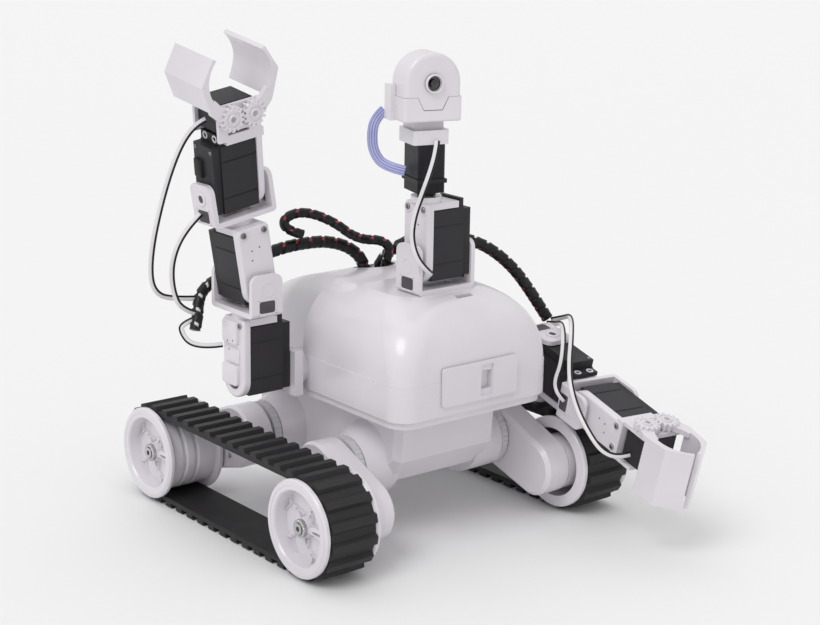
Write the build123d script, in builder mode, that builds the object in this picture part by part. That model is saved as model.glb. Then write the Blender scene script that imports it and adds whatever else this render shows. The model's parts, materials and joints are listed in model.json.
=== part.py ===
from build123d import *
import os
from math import cos, sin, pi, radians, tan, hypot, atan2, degrees

os.makedirs("parts", exist_ok=True)

# A small tracked robot: twin rubber tracks on clip-on legs, a domed two-piece
# body, two servo arms with geared grippers and a pan and tilt camera head.
# Millimetres, +Z up, the front faces -Y.

# ---------------------------------------------------------------- dimensions
# chassis centre in the row frame: the origin is under the middle of the box
CX, CY = 12.05, 43.28

# tracks and wheels
rim_r = 28.5            # wheel flange radius
axle_y = 79.8           # half the wheelbase
axle_z = 30.57           # axle height
wheel_in = 77.4         # inner face of a wheel from the centre plane
wheel_out = 115.8       # outer face
flange_t = 3.6
drum_r = 24.4           # belt seat
web_x = 104.5           # start of the spoked web
belt_in_r, belt_out_r, lug_r = 24.9, 27.9, 30.5
belt_half = 15.2
lugs = 41

# legs
pod_y, pod_z, pod_r = 42.5, 43.5, 19.5
leg_in, leg_mid, leg_out = 58.0, 67.0, 76.4
leg_tip_r = 17.5
spigot_r = 11.5
hub_boss_r = 17.0

# hull
hull_w, hull_front, hull_floor, waist_z = 38.3, 72.2, 34.7, 71.0
rim_w, rim_front, seam_z = 56.0, 96.0, 84.0
wall = 2.5

# shell
dome_w, dome_front, dome_back, roof_z = 57.0, 97.5, -4.0, 147.0
rear_w, tail_y = 44.0, 90.0

# servo module, in its own frame: origin on the output axis, +Z towards the
# next joint, +X along the output axis on the case side
srv_t = 10.0            # half thickness
srv_lo, srv_hi = -9.0, 32.4
srv_x0, srv_x1 = -12.5, 11.0
cap_x = -17.8
case_x = 15.5
case_t = 11.0
link = 40.0             # output axis to the next bracket
br_w, br_e, br_h, br_p = 21.0, 10.5, 25.0, 16.5   # bracket half width, half ear, ear height, axis height
ear_t = 2.8
head_h = 29.0
horn_r, pin_r, run = 6.0, 3.0, 0.05

# gripper
gear_x, gear_z, teeth = 7.25, 49.0, 14
gear_tip, gear_root = 7.95, 6.15

# arms
sh_y, sh_z = 1.0, 95.7
module_x = 87.5         # centre plane of the shoulder modules
rise_x = 93.5           # centre plane of what stands on them


def rot(x, y, z, rx=0, ry=0, rz=0):
    """A place, then turns about X, Y and Z in that order."""
    return Location((x, y, z)) * Location((0, 0, 0), (0, 0, rz)) * Location((0, 0, 0), (0, ry, 0)) * Location((0, 0, 0), (rx, 0, 0))


ORG = Location((CX, CY, 0))

# ------------------------------------------------------------ chassis forms
# lower hull: a tub with chamfered ends that flares to the seam
with BuildPart() as hull_form:
    with BuildSketch(Plane.YZ.offset(-hull_w)):
        with BuildLine():
            Polyline((-hull_front, waist_z + 1), (-hull_front + 1.5, 50), (-hull_front + 14, hull_floor),
                     (hull_front - 14, hull_floor), (hull_front - 1.5, 50), (hull_front, waist_z + 1), close=True)
        make_face()
    extrude(amount=2 * hull_w)
    chamfer(hull_form.edges().filter_by(Axis.Z, 25).filter_by(lambda e: e.length > 18 and e.length < 24), 4)
    with BuildSketch(Plane.XY.offset(waist_z)):
        RectangleRounded(2 * hull_w, 2 * hull_front, 5)
    with BuildSketch(Plane.XY.offset(79.5)):
        with Locations((0, (tail_y - rim_front) / 2 + 0.0)):
            RectangleRounded(2 * rim_w, tail_y + rim_front, 13)
    loft()
    with BuildSketch(Plane.XY.offset(79.5)):
        with Locations((0, (tail_y - rim_front) / 2)):
            RectangleRounded(2 * rim_w, tail_y + rim_front, 13)
    extrude(amount=seam_z - 79.5)
    # cone bosses that carry the four legs
    for sx in (-1, 1):
        for sy in (-1, 1):
            with BuildSketch(Plane(origin=(sx * 30, sy * pod_y * 0.93, pod_z + 5), z_dir=(sx, 0, 0))):
                Circle(25)
            with BuildSketch(Plane(origin=(sx * 52, sy * pod_y, pod_z), z_dir=(sx, 0, 0))):
                Circle(pod_r - 0.5)
            loft()

with BuildPart() as hull_void:
    with BuildSketch(Plane.YZ.offset(-hull_w + wall)):
        with BuildLine():
            Polyline((-hull_front + wall, waist_z), (-hull_front + wall + 1.5, 51), (-hull_front + 15, hull_floor + wall),
                     (hull_front - 15, hull_floor + wall), (hull_front - wall - 1.5, 51), (hull_front - wall, waist_z), close=True)
        make_face()
    extrude(amount=2 * (hull_w - wall))
    with BuildSketch(Plane.XY.offset(waist_z - 0.01)):
        RectangleRounded(2 * (hull_w - wall), 2 * (hull_front - wall), 4)
    with BuildSketch(Plane.XY.offset(80.5)):
        with Locations((0, (tail_y - rim_front) / 2)):
            RectangleRounded(2 * (rim_w - wall), tail_y + rim_front - 2 * wall, 11)
    loft()
    with BuildSketch(Plane.XY.offset(80.5)):
        with Locations((0, (tail_y - rim_front) / 2)):
            RectangleRounded(2 * (rim_w - wall), tail_y + rim_front - 2 * wall, 11)
    extrude(amount=seam_z - 80.5 + 1)

with BuildPart() as lower_hull:
    with Locations(ORG):
        add(hull_form.part)
        add(hull_void.part, mode=Mode.SUBTRACT)
    with Locations(*[ORG * Location((sx * 49, sy * pod_y, pod_z), (0, 90, 0)) for sx in (-1, 1) for sy in (-1, 1)]):
        Cylinder(spigot_r + run, 7, mode=Mode.SUBTRACT)
    # board posts
    with Locations(*[ORG * Location((sx * 28, sy * 36, 55.4)) for sx in (-1, 1) for sy in (-1, 1)]):
        Cylinder(3, 36.6)
    # underside screw pattern, open to the outside
    with Locations(*[ORG * Location((sx * 24, sy * 48, hull_floor)) for sx in (-1, 1) for sy in (-1, 1)]):
        Cylinder(1.6, 12, mode=Mode.SUBTRACT)


def dome(t):
    """Front block: upright corners that grow rounder towards the roof; t is the wall taken off."""
    with BuildPart() as b:
        for z, w, front, r in ((seam_z - 1, 57.0, 97.5, 12), (110, 57.0, 97.5, 13), (126, 54.2, 94.6, 17), (138, 46.5, 87.5, 21), (147, 31, 71.5, 22)):
            zz = z - (t if z > 100 else 0)
            with BuildSketch(Plane.XY.offset(zz)):
                with Locations((0, (20 - front) / 2)):
                    RectangleRounded(2 * (w - t), front + 20 - 2 * t, r - t * 0.6)
        loft()
        with Locations((0, 57, 116)):
            Box(140, 122 + 2 * t, 80, mode=Mode.SUBTRACT)
        if t == 0:
            with Locations((0, -40, seam_z - 1)):
                Box(140, 130, 2, mode=Mode.SUBTRACT)
    return b.part


def tail(w, y0, y1, z0, dz, r):
    """Rear block: a roof that falls towards the tail."""
    with BuildPart() as b:
        with BuildSketch(Plane.YZ.offset(-w)):
            with BuildLine():
                l1 = Line((y0, z0), (y0, roof_z - dz - 1))
                l2 = Spline(l1 @ 1, (-8, 149.0 - dz), (18, 145.5 - dz), (50, 134.0 - dz), (78, 118 - dz), (y1, 100 - dz), tangents=((1, 0.1), (0.25, -1)))
                l3 = Line(l2 @ 1, (y1, z0))
                Line(l3 @ 1, l1 @ 0)
            make_face()
        extrude(amount=2 * w)
        es = b.edges().filter_by(lambda e: abs(abs(e.center().X) - w) < 0.1 and e.center().Z > z0 + 30 and e.center().Y > y0 + 5)
        fillet(es, r)
    return b.part


shell_dome = dome(0)
shell_dome_in = dome(wall)
shell_tail = tail(rear_w, -30, tail_y, seam_z, 0, 14)
shell_tail_in = tail(rear_w - wall, -30, tail_y - wall, seam_z - 1, wall, 12)

with BuildPart() as skirt_form:
    with BuildSketch(Plane.XY.offset(seam_z)):
        with Locations((0, (dome_back - dome_front) / 2)):
            Rectangle(2 * dome_w + 1.2, dome_front + dome_back + 0.6)
    extrude(amount=20.5)
    fillet(skirt_form.edges().filter_by(Axis.Z).group_by(Axis.Y)[0], 12.5)
with BuildPart() as tail_skirt:
    with BuildSketch(Plane.XY.offset(seam_z)):
        with Locations((0, 40)):
            Rectangle(2 * rim_w, 2 * (tail_y - 40))
    extrude(amount=4)
    fillet(tail_skirt.edges().filter_by(Axis.Z).group_by(Axis.Y)[-1], 13)

with BuildPart() as skirt_in:
    with BuildSketch(Plane.XY.offset(seam_z - 1)):
        with Locations((0, (tail_y - dome_front) / 2)):
            RectangleRounded(2 * (rim_w - wall), tail_y + dome_front - 2 * wall, 10)
    extrude(amount=4 - wall + 0.5)

with BuildPart() as upper_shell:
    with Locations(ORG):
        add(shell_dome)
        add(shell_tail)
        add(skirt_form.part)
        add(tail_skirt.part)
    # shoulder bosses and plates on both sides
    for sx in (-1, 1):
        with Locations(ORG * Location((sx * 52, sh_y, sh_z), (0, 90, 0))):
            Cylinder(11, 22)
    with Locations(ORG):
        add(shell_dome_in, mode=Mode.SUBTRACT)
        add(shell_tail_in, mode=Mode.SUBTRACT)
        add(skirt_in.part, mode=Mode.SUBTRACT)
    for sx in (-1, 1):
        with Locations(ORG * Location((sx * 66, sh_y, sh_z))):
            Box(6, 27, 27)
        with Locations(ORG * Location((sx * 71.1, sh_y, sh_z), (0, 90, 0))):
            Cylinder(pin_r, 4.6)
    # socket slot in front of the head and pocket for the latch
    with Locations(ORG * Location((6, -75.5, roof_z - 1))):
        Box(12, 3.2, 8, mode=Mode.SUBTRACT)
    with Locations(ORG * Location((0, -dome_front + 1, 101))):
        Box(40, 8, 15, mode=Mode.SUBTRACT)
    # cable well behind the head
    with Locations(ORG * Location((6, 10, roof_z))):
        Cylinder(13, 16, mode=Mode.SUBTRACT)

# latch plate on the front, with a finger pocket
with BuildPart() as front_latch:
    with BuildSketch(Plane(origin=(CX, CY - dome_front - 0.6, 101), x_dir=(1, 0, 0), z_dir=(0, -1, 0))):
        RectangleRounded(56, 23, 2)
    extrude(amount=1.4)
    with BuildSketch(Plane(origin=(CX, CY - dome_front - 0.6, 101), x_dir=(1, 0, 0), z_dir=(0, 1, 0))):
        Rectangle(38, 13)
    extrude(amount=5)
    with BuildSketch(Plane(origin=(CX + 5, CY - dome_front - 2.0, 101), x_dir=(1, 0, 0), z_dir=(0, 1, 0))):
        Rectangle(9, 18.5)
    extrude(amount=1.1, mode=Mode.SUBTRACT)
    with BuildSketch(Plane(origin=(CX + 5, CY - dome_front - 2.0, 101), x_dir=(1, 0, 0), z_dir=(0, 1, 0))):
        Rectangle(8, 11)
    extrude(amount=4.5, mode=Mode.SUBTRACT)

# control board on the four posts, and the battery on the floor
with BuildPart() as controller_board:
    with Locations(ORG * Location((0, 0, 74.6))):
        Box(64, 84, 1.6)
    with Locations(ORG * Location((0, -5, 77))):
        Box(20, 20, 3.2)
    with Locations(ORG * Location((0, 30, 79))):
        Box(40, 9, 7.2)
    with Locations(ORG * Location((-22, -30, 78)), ORG * Location((22, -30, 78))):
        Box(9, 14, 5.2)
with BuildPart() as battery_pack:
    with Locations(ORG * Location((0, 0, hull_floor + wall + 12))):
        Box(42, 66, 24)
    fillet(battery_pack.edges(), 2)

# legs: two halves that close on a seam; the outer half carries the hub boss
legs = {}
for sx, side in ((-1, "right"), (1, "left")):
    for sy, end in ((-1, "front"), (1, "rear")):
        pod, hub = (sy * pod_y, pod_z), (sy * axle_y, axle_z)
        with BuildPart() as inner_half:
            with BuildSketch(Plane.YZ.offset(leg_in)):
                with Locations(pod):
                    Circle(pod_r)
                with Locations(hub):
                    Circle(leg_tip_r)
                make_hull()
            extrude(amount=leg_mid - leg_in)
            chamfer(inner_half.faces().sort_by(Axis.X)[0].edges(), 2.4)
            with BuildSketch(Plane.YZ.offset(leg_in - 10.5)):
                with Locations(pod):
                    Circle(spigot_r)
            extrude(amount=10.6)
            with BuildSketch(Plane.YZ.offset(leg_in + 3)):
                with Locations(hub):
                    Circle(12.6)
            extrude(amount=10, mode=Mode.SUBTRACT)
            with BuildSketch(Plane.YZ.offset(46)):
                with Locations(pod):
                    Circle(4)
            extrude(amount=30, mode=Mode.SUBTRACT)
        with BuildPart() as outer_half:
            with BuildSketch(Plane.YZ.offset(leg_mid + 0.05)):
                with Locations(pod):
                    Circle(pod_r)
                with Locations(hub):
                    Circle(leg_tip_r)
                make_hull()
            extrude(amount=leg_out - leg_mid - 0.05)
            chamfer(outer_half.faces().sort_by(Axis.X)[-1].edges(), 1.6)
            with BuildSketch(Plane.YZ.offset(leg_out - 0.5)):
                with Locations(hub):
                    Circle(hub_boss_r)
            extrude(amount=98.5 - leg_out)
            with BuildSketch(Plane.YZ.offset(leg_mid)):
                with Locations(hub):
                    Circle(12.6)
            extrude(amount=95 - leg_mid, mode=Mode.SUBTRACT)
            with BuildSketch(Plane.YZ.offset(90)):
                with Locations(hub):
                    Circle(3.0)
            extrude(amount=10, mode=Mode.SUBTRACT)
            # recesses for the case screws
            with BuildSketch(Plane.YZ.offset(leg_out - 4)):
                with Locations((sy * (pod_y - 8.5), pod_z + 12.5), (sy * 61, 33.5), (sy * (pod_y + 4), pod_z - 13)):
                    Circle(1.9)
            extrude(amount=6, mode=Mode.SUBTRACT)
        with BuildPart() as leg:
            with Locations(ORG):
                if sx > 0:
                    add([inner_half.part, outer_half.part])
                else:
                    add([inner_half.part.mirror(Plane.YZ), outer_half.part.mirror(Plane.YZ)])
        legs[f"{end}_{side}_leg"] = leg
        screw_spots = [(sy * (pod_y - 8.5), pod_z + 12.5), (sy * 61, 33.5), (sy * (pod_y + 4), pod_z - 13)]
        if (sx, sy) == (-1, -1):
            all_screws = []
        all_screws += [ORG * Location((sx * (leg_out - 3.4), y, z), (0, 90 * sx, 0)) for y, z in screw_spots]

with BuildPart() as leg_screws:
    with Locations(*all_screws):
        Cylinder(1.85, 1.2)

# grey knurled rings that lock the legs to the hull
with BuildPart() as ring_form:
    with BuildSketch(Plane.YZ.offset(52.6)):
        Circle(pod_r - 0.8)
        with PolarLocations(pod_r - 0.3, 36):
            Circle(0.9, mode=Mode.SUBTRACT)
        Circle(spigot_r + run, mode=Mode.SUBTRACT)
    extrude(amount=4.6)
with BuildPart() as clip_rings:
    for sx in (-1, 1):
        for sy in (-1, 1):
            with Locations(ORG * Location((0 if sx > 0 else -109.8, sy * pod_y, pod_z))):
                add(ring_form.part)

# ------------------------------------------------------------ wheels, tracks
# wheel about the X axis, inner face at x = 0
wheel_w = wheel_out - wheel_in
with BuildPart() as wheel_form:
    with BuildSketch(Plane.XY):
        with BuildLine():
            Polyline((0, 21.6), (0, rim_r - 0.8), (0.8, rim_r), (flange_t - 0.8, rim_r), (flange_t, rim_r - 0.8), (flange_t, drum_r),
                     (wheel_w / 2 - 4, drum_r), (wheel_w / 2 - 3, drum_r - 1.4), (wheel_w / 2 - 1.5, drum_r - 1.4), (wheel_w / 2 - 0.5, drum_r),
                     (wheel_w / 2 + 4, drum_r), (wheel_w / 2 + 5, drum_r - 1.4), (wheel_w / 2 + 6.5, drum_r - 1.4), (wheel_w / 2 + 7.5, drum_r),
                     (wheel_w - flange_t, drum_r), (wheel_w - flange_t, rim_r - 0.8), (wheel_w - flange_t + 0.8, rim_r),
                     (wheel_w - 1.0, rim_r), (wheel_w, rim_r - 1.0), (wheel_w, 22.6), (wheel_w - 1.0, 21.8),
                     (web_x - wheel_in + 3.0, 20.6), (web_x - wheel_in + 3.0, 6.5), (wheel_w - 4.2, 5.6), (wheel_w - 4.2, 3.05),
                     (web_x - wheel_in - 3.5, 3.05), (web_x - wheel_in - 3.5, 6.5), (web_x - wheel_in, 7.5), (web_x - wheel_in, 21.6), close=True)
        make_face()
    revolve(axis=Axis.X)
    # curved double spokes stand on the web
    with BuildSketch(Plane.YZ.offset(web_x - wheel_in + 2.9)) as spokes:
        with PolarLocations(0, 5):
            with BuildLine():
                a = Polyline((5.0, 1.0), (9.5, 3.4), (20.9, 3.0), (20.9, -3.2), (9.5, -1.4), (5.0, -1.6), close=True)
            make_face()
    extrude(amount=4.0)
    with BuildSketch(Plane.YZ.offset(web_x - wheel_in + 4.4)) as grooves:
        with PolarLocations(14.6, 5):
            SlotCenterToCenter(9.5, 1.7)
    extrude(amount=4.0, mode=Mode.SUBTRACT)

# track: a ribbed belt round both wheels
with BuildPart() as track_form:
    per = 4 * axle_y + 2 * pi * belt_out_r
    with BuildSketch(Plane.YZ.offset(-belt_half)) as loop:
        SlotCenterToCenter(2 * axle_y, 2 * belt_out_r)
        for k in range(lugs):
            s_at = per * k / lugs
            straight = 2 * axle_y
            arc_l = pi * belt_out_r
            r_mid = (belt_out_r + lug_r) / 2 - 0.2
            if s_at < straight:
                spot = Location((-axle_y + s_at, r_mid), 0)
            elif s_at < straight + arc_l:
                a_deg = 90 - degrees((s_at - straight) / belt_out_r)
                spot = Location((axle_y + r_mid * cos(radians(a_deg)), r_mid * sin(radians(a_deg))), a_deg - 90)
            elif s_at < 2 * straight + arc_l:
                spot = Location((axle_y - (s_at - straight - arc_l), -r_mid), 0)
            else:
                a_deg = -90 - degrees((s_at - 2 * straight - arc_l) / belt_out_r)
                spot = Location((-axle_y + r_mid * cos(radians(a_deg)), r_mid * sin(radians(a_deg))), a_deg - 90)
            with Locations(spot):
                Trapezoid(7.2, lug_r - belt_out_r + 0.4, 68)
        SlotCenterToCenter(2 * axle_y, 2 * belt_in_r, mode=Mode.SUBTRACT)
    extrude(amount=2 * belt_half)

belt_x = (wheel_in + wheel_out) / 2

# stub axle with a round head
with BuildPart() as axle_form:
    with BuildSketch(Plane.XY):
        with BuildLine():
            Polyline((0, 0), (0, 3.0), (17.3, 3.0), (17.3, 0), close=True)
        make_face()
    revolve(axis=Axis.X)
    with BuildSketch(Plane.YZ.offset(17.3)):
        Circle(3.4)
        RegularPolygon(1.6, 6, mode=Mode.SUBTRACT)
    extrude(amount=2.2)
with BuildPart() as wheel_axles:
    for sx in (-1, 1):
        for sy in (-1, 1):
            with Locations(ORG * Location((sx * 95.2, sy * axle_y, axle_z), (0, 0, 0 if sx > 0 else 180))):
                add(axle_form.part)

# gearmotors inside the rear legs, on the hub line
with BuildPart() as drive_motors:
    for sx in (-1, 1):
        with Locations(ORG * Location((sx * 78, axle_y, axle_z), (0, 90 * sx, 0))):
            Cylinder(12, 26)
        with Locations(ORG * Location((sx * 92.5, axle_y, axle_z), (0, 90 * sx, 0))):
            Cylinder(4, 3.2)

# ------------------------------------------------------------ module forms
with BuildPart() as servo_form:
    with Locations(((srv_x0 + srv_x1) / 2, 0, (srv_lo + srv_hi) / 2)):
        Box(srv_x1 - srv_x0, 2 * srv_t, srv_hi - srv_lo)
    chamfer(servo_form.edges().filter_by(Axis.X), 0.8)
    with Locations(((cap_x + srv_x0) / 2, 0, (srv_lo + srv_hi) / 2)):
        Box(srv_x0 - cap_x, 2 * srv_t - 1.6, srv_hi - srv_lo - 1.6)
    with Locations((srv_x0 + 1.3, 0, srv_hi + 2.6)):
        Box(2.6, 18, 5.4)
    with Locations(Location((srv_x0 + 1.3, -4.6, srv_hi + 2.8), (0, 90, 0)), Location((srv_x0 + 1.3, 4.6, srv_hi + 2.8), (0, 90, 0))):
        Cylinder(1.5, 4, mode=Mode.SUBTRACT)
    with Locations(Location((cap_x + 2, 0, 0), (0, 90, 0))):
        Cylinder(pin_r + run, 4.2, mode=Mode.SUBTRACT)


def case(clip_x, with_clip=True):
    """White side plate and top bridge over a servo, with a round clip on top."""
    with BuildPart() as c:
        with BuildSketch(Plane.YZ.offset(srv_x1 + 0.05)):
            Circle(case_t)
            with Locations((0, 18.25)):
                RectangleRounded(2 * case_t, 36.5, 2.5)
            with Locations((0, 9)):
                Rectangle(2 * case_t, 18)
        extrude(amount=case_x - srv_x1 - 0.05)
        fillet(c.faces().sort_by(Axis.X)[-1].edges(), 1.6)
        with BuildSketch(Plane.XY.offset(srv_hi + 0.3)):
            with Locations(((case_x - 9.5) / 2, 0)):
                Rectangle(case_x + 9.5 - 2.0, 2 * case_t - 2.4)
        extrude(amount=36.5 - srv_hi - 0.3)
        if with_clip:
            with BuildSketch(Plane.XY.offset(36.4)):
                with Locations((clip_x, 0)):
                    Circle(9)
            extrude(amount=link - 36.4)
        with Locations(Location((14, 0, 0), (0, 90, 0))):
            Cylinder(horn_r + run, 10, mode=Mode.SUBTRACT)
    return c.part


def bracket(h):
    """U bracket: base at z = 0, ears on +X and -X, axis at br_p."""
    with BuildPart() as u:
        with Locations((0, 0, 1.5)):
            Box(2 * br_w, 2 * br_e, 3)
        for sx in (-1, 1):
            with BuildSketch(Plane.YZ.offset(sx * (br_w - ear_t / 2) - ear_t / 2)):
                with Locations((0, h / 2 + 0.5)):
                    RectangleRounded(2 * br_e, h - 1, 5)
                with Locations((0, h / 4)):
                    Rectangle(2 * br_e, h / 2)
            extrude(amount=ear_t)
        fillet(u.edges().filter_by(Axis.Y).filter_by(lambda e: abs(abs(e.center().X) - br_w) < 0.1 and e.center().Z < 0.2), 2.6)
        with Locations((0, 0, 7.2)):
            Box(60, 9, 4.6, mode=Mode.SUBTRACT)
        with Locations((0, 0, 1.5)):
            Box(20, 6, 6, mode=Mode.SUBTRACT)
        with Locations(Location((15.8, 0, br_p), (0, 90, 0))):
            Cylinder(horn_r, 5.2)
        with Locations(Location((-16.3, 0, br_p), (0, 90, 0))):
            Cylinder(pin_r, 4.2)
    return u.part


case_rise = case(6.0)
case_mid = case(0.0)
case_neck = case(8.0)
case_hand = case(0.0, with_clip=False)
arm_bracket = bracket(br_h)
head_u = bracket(head_h)

with BuildPart() as neck_case:
    add(case_neck)
    with Locations((8.0, 0, link + 2)):
        Cylinder(pin_r, 4)

# hand frame: top plate, gear wall with two pins, back wall
with BuildPart() as hand_form:
    add(case_hand)
    with Locations((3.0, 0.4, srv_hi + 0.3 + 2.55)):
        Box(25.0, 24.8, 5.1)
    with Locations((0, -10.8, 45.4)):
        Box(28, 2.4, 21.2)
    with Locations((0, 12.6, 43)):
        Box(28, 2.2, 14)
    with Locations(Location((gear_x, -14.2, gear_z), (90, 0, 0)), Location((-gear_x, -14.2, gear_z), (90, 0, 0))):
        Cylinder(1.5, 5)
    with Locations((-1, -11, 39.2)):
        Box(14, 6, 1.6, mode=Mode.SUBTRACT)
with BuildPart() as grip_servo_form:
    with Locations((0, 1.0, 47.2)):
        Box(23.6, 20.4, 18.4)
    chamfer(grip_servo_form.edges().filter_by(Axis.Y), 1.2)


def claw(side, close):
    """A gear with a broad cupped finger, turned by close degrees from open."""
    s = side
    with BuildPart() as c:
        with BuildSketch(Plane.XZ.offset(12.4)):
            with Locations((s * gear_x, gear_z)):
                Circle(gear_root)
                n0 = 180 if s > 0 else 180.0 / teeth
                with PolarLocations(gear_root - 0.2, teeth, start_angle=n0):
                    with Locations((0.9, 0)):
                        Trapezoid(2.15, gear_tip - gear_root, 72, rotation=-90)
                Circle(1.5 + run, mode=Mode.SUBTRACT)
            with BuildLine():
                Polyline((s * 9.5, 44.2), (s * 14.2, 47.6), (s * 20, 53.6), (s * 21.5, 60), (s * 17.2, 62), (s * 13.4, 57.6), (s * 9, 54.6), close=True)
            make_face()
            with Locations((s * gear_x, gear_z)):
                Circle(1.5 + run, mode=Mode.SUBTRACT)
        extrude(amount=3.2)
        with BuildSketch(Plane.XZ.offset(15.6)):
            with BuildLine():
                Polyline((s * 16.6, 56.8), (s * 20.6, 55.4), (s * 25.3, 71), (s * 17, 85.6), (s * 14.8, 84.2))
                Spline((s * 14.8, 84.2), (s * 19.2, 77.4), (s * 20.6, 70.4), (s * 18.8, 62.4), (s * 16.6, 56.8))
            make_face()
        extrude(amount=-37)
    return c.part.rotate(Axis((s * gear_x, 0, gear_z), (0, 1, 0)), -s * close)


# ------------------------------------------------------------ head forms
cam_x = -3.0
with BuildPart() as pan_servo_form:
    with Locations((-1.5, 0, 17)):
        Box(16.8, 21, 28)
    chamfer(pan_servo_form.edges().filter_by(Axis.Z), 1.0)
    with Locations((0, 0, 1.8)):
        Cylinder(5.5, 2.6)
    with Locations((-1.5, 0, 10)):
        Box(18.4, 22.6, 2.4)
    with Locations((0, 0, 2.6)):
        Cylinder(pin_r + run, 5.2, mode=Mode.SUBTRACT)
with BuildPart() as pan_clip_form:
    with Locations((-2.2, 0, 35.2)):
        Box(22, 22, 8.2)
    fillet(pan_clip_form.edges().filter_by(Axis.Z), 1.5)
    with Locations((-2.2, 1, 41.9)):
        Box(18, 16, 5.2)


with BuildPart() as cam_upper_form:
    with BuildSketch(Plane(origin=(cam_x, 7, 66), x_dir=(1, 0, 0), z_dir=(0, -1, 0))):
        with BuildLine():
            Line((-17.4, -7.4), (-17.4, 0))
            ThreePointArc((-17.4, 0), (0, 17.4), (17.4, 0))
            Polyline((17.4, 0), (17.4, -7.4), (-17.4, -7.4))
        make_face()
    extrude(amount=21)
    fillet(cam_upper_form.edges().filter_by(lambda e: abs(e.center().Y + 14) < 0.01 and e.center().Z > 59), 2.8)
    fillet(cam_upper_form.edges().filter_by(lambda e: abs(e.center().Y - 7) < 0.01 and e.center().Z > 59), 4.0)
with BuildPart() as cam_upper_void:
    with BuildSketch(Plane(origin=(cam_x, 4.8, 66), x_dir=(1, 0, 0), z_dir=(0, -1, 0))):
        with BuildLine():
            Line((-15.2, -9), (-15.2, 0))
            ThreePointArc((-15.2, 0), (0, 15.2), (15.2, 0))
            Polyline((15.2, 0), (15.2, -9), (-15.2, -9))
        make_face()
    extrude(amount=16.6)
with BuildPart() as cam_tab:
    with BuildSketch(Plane.XZ.offset(11.9)):
        with BuildLine():
            Polyline((cam_x - 10, 60), (cam_x + 10, 60), (cam_x + 5.6, 51.4), (cam_x - 5.6, 51.4), close=True)
        make_face()
    extrude(amount=2.1)
with BuildPart() as camera_upper_form:
    add(cam_upper_form.part)
    add(cam_upper_void.part, mode=Mode.SUBTRACT)
    add(cam_tab.part)
    with Locations(Location((cam_x, -12, 66.3), (90, 0, 0))):
        Cylinder(4.25, 12, mode=Mode.SUBTRACT)
    with Locations(Location((cam_x, -14, 66.3), (90, 0, 0))):
        Cylinder(5.6, 1.2, mode=Mode.SUBTRACT)
with BuildPart() as camera_lower_form:
    with Locations((cam_x, -3.6, 51.5)):
        Box(36, 21.6, 14.0)
    fillet(camera_lower_form.edges().filter_by(Axis.Z), 2.2)
    fillet(camera_lower_form.faces().sort_by(Axis.Z)[0].edges(), 1.4)
    with Locations((cam_x - 19.1, 3, 54.5)):
        Box(3, 9, 20)
    with Locations((cam_x, -3.6, 53)):
        Box(31.6, 17.0, 20, mode=Mode.SUBTRACT)
    with BuildSketch(Plane.XZ.offset(11.7)):
        with BuildLine():
            Polyline((cam_x - 10.6, 60.5), (cam_x + 10.6, 60.5), (cam_x + 5.9, 51.0), (cam_x - 5.9, 51.0), close=True)
        make_face()
    extrude(amount=4, mode=Mode.SUBTRACT)
with BuildPart() as lens_form:
    with Locations(Location((cam_x, -11.6, 66.3), (90, 0, 0))):
        Cylinder(4.2, 4.4)
    with Locations(Location((cam_x, -3.2, 66.3))):
        Box(20, 12.0, 20)
    with Locations(Location((cam_x, -14.2, 66.3), (90, 0, 0))):
        Cylinder(2.6, 0.8, mode=Mode.SUBTRACT)

# ------------------------------------------------------------ placements
def turned(base, ax, ang):
    v = {"x": (ang, 0, 0), "y": (0, ang, 0), "z": (0, 0, ang)}[ax]
    return base * Location((0, 0, 0), v)


# right arm, raised: each frame sits on the one before
R_M0 = ORG * Location((-module_x, sh_y, sh_z), (0, 0, 180))
R_B1 = ORG * Location((-rise_x, sh_y, sh_z + link), (0, 0, -90))
R_P1 = ORG * Location((-rise_x, sh_y, sh_z + link + br_p), (0, -9.5, 0))
R_M1 = turned(R_P1, "z", -90)
R_B2 = R_P1 * Location((0, 0, link))
R_M2 = turned(R_P1 * Location((0, 0, link + br_p)), "x", 8.6)

# left arm, reaching forwards and down
L_F = ORG * Location((module_x, sh_y, sh_z), (102, 0, 0))
L_M0 = L_F
L_B1 = turned(L_F * Location((6.0, 0, link)), "z", -90)
L_P1 = turned(L_F * Location((6.0, 0, link + br_p)), "y", -5.5)
L_M1 = turned(L_P1, "z", -90)
L_B2 = turned(L_P1 * Location((0, 0, link)), "z", 180)
L_M2 = turned(turned(L_P1 * Location((0, 0, link + br_p)), "z", 180), "x", -1.7)

# head: bracket on the roof, tilt module, then everything that pans
H_B = ORG * Location((0, -56.7, roof_z), (0, 0, 180))
H_M = ORG * Location((0, -56.7, roof_z + br_p), (0, 0, 180))
H_PAN = ORG * Location((-8, -56.7, roof_z + br_p + link), (0, 0, -15))

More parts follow.
